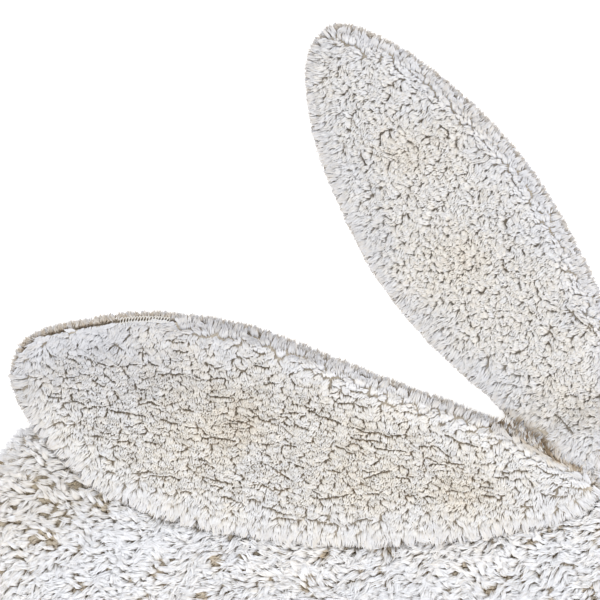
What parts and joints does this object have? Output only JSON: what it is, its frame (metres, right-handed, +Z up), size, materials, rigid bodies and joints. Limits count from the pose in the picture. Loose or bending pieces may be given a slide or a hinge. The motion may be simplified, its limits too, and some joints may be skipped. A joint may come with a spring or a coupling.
{
  "type": "rabbit shaped kids rug",
  "caption": "Flat shag floor rug cut to a rabbit in profile, with long loose pile on the body and two short-pile ears, one laid as a flap over the back.",
  "frame": {"origin": "under the middle of the rug's bounding box, on the floor", "axes": "+X towards the muzzle, +Y towards the ears, +Z up from the floor"},
  "size_m": [1.0478, 1.0592, 0.0363],
  "materials": {
    "long_pile": "long loose cotton shag, off-white with olive brown between the locks",
    "short_pile": "short dense cotton pile, off-white to warm beige",
    "back_pile": "short cotton pile with an overlocked edge, grey beige"
  },
  "bodies": {
    "root": {"body": "long_pile", "ear_upper_front": "short_pile", "ear_upper_back": "back_pile", "ear_lower_front": "short_pile", "ear_lower_back": "back_pile"}
  },
  "joints": []
}
